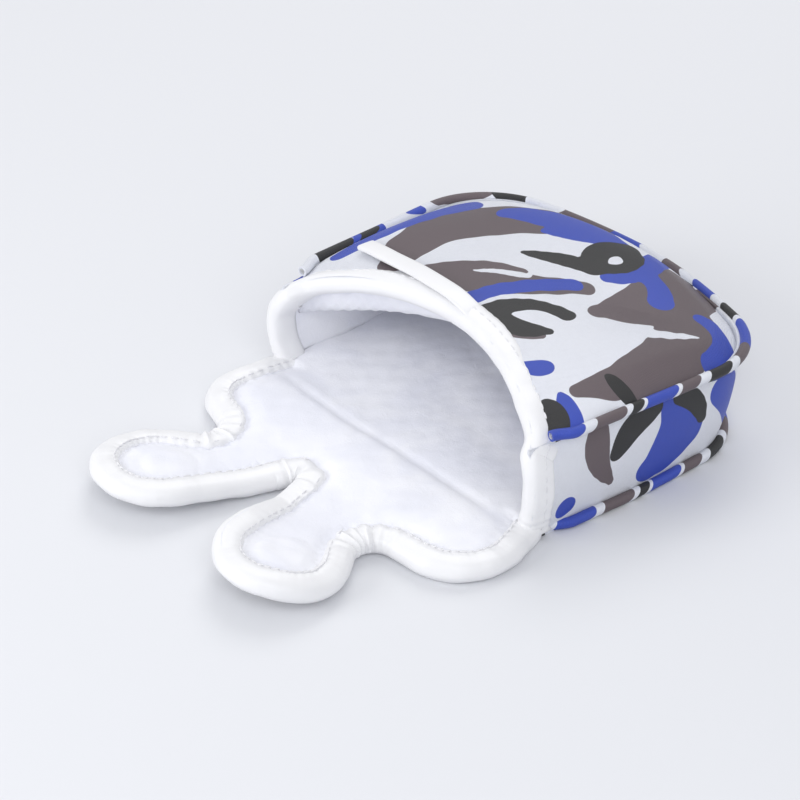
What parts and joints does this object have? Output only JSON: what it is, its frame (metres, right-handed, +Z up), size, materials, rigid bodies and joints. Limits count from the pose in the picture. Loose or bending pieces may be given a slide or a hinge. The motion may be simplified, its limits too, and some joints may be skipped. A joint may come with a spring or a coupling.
{
  "type": "putter head cover",
  "caption": "Padded leatherette pouch with a plush lining, open at one end, with a fold-over flap whose two magnetic lobes close round the shaft.",
  "frame": {"origin": "on the base's underside, below the middle of the mouth", "axes": "+X to the right of someone looking into the mouth, +Y into the pouch, +Z up"},
  "size_m": [0.1348, 0.1943, 0.0453],
  "materials": {
    "printed_leatherette": "printed, cross-grained, satin",
    "binding": "smooth white leatherette tape",
    "plush": "short pale plush",
    "foam": "open-cell foam sheet",
    "cord": "smooth welt cord",
    "magnet": "nickel plated"
  },
  "bodies": {
    "pouch": {"top_panel": "printed_leatherette", "top_foam": "foam", "top_lining": "plush", "side_panel": "printed_leatherette", "side_foam": "foam", "side_lining": "plush", "bottom_panel": "printed_leatherette", "bottom_foam": "foam", "bottom_lining": "plush", "top_piping": "printed_leatherette", "top_piping_cord": "cord", "bottom_piping": "printed_leatherette", "bottom_piping_cord": "cord", "mouth_binding": "binding", "binding_tail": "binding", "left_keeper_magnet": "magnet", "right_keeper_magnet": "magnet", "flap_fold_strip": "plush"},
    "flap": {"flap_panel": "printed_leatherette", "flap_foam": "foam", "flap_lining": "plush", "left_flap_binding": "binding", "slot_flap_binding": "binding", "right_flap_binding": "binding", "left_lobe_fold_strip": "plush", "right_lobe_fold_strip": "plush"},
    "left_lobe": {"left_lobe_panel": "printed_leatherette", "left_lobe_foam": "foam", "left_lobe_lining": "plush", "left_lobe_binding": "binding", "left_lobe_magnet": "magnet"},
    "right_lobe": {"right_lobe_panel": "printed_leatherette", "right_lobe_foam": "foam", "right_lobe_lining": "plush", "right_lobe_binding": "binding", "right_lobe_magnet": "magnet"}
  },
  "joints": [
    {"name": "flap_fold", "type": "hinge", "parent": "pouch", "child": "flap", "pos_m": [0, -0.007, 0.0033], "axis": [-1, 0, 0], "range_deg": [0, 95]},
    {"name": "left_lobe_fold", "type": "hinge", "parent": "flap", "child": "left_lobe", "pos_m": [-0.0285, -0.049, 0.0033], "axis": [-1, 0, 0], "range_deg": [0, 68]},
    {"name": "right_lobe_fold", "type": "hinge", "parent": "flap", "child": "right_lobe", "pos_m": [0.0285, -0.049, 0.0033], "axis": [-1, 0, 0], "range_deg": [0, 65]}
  ]
}
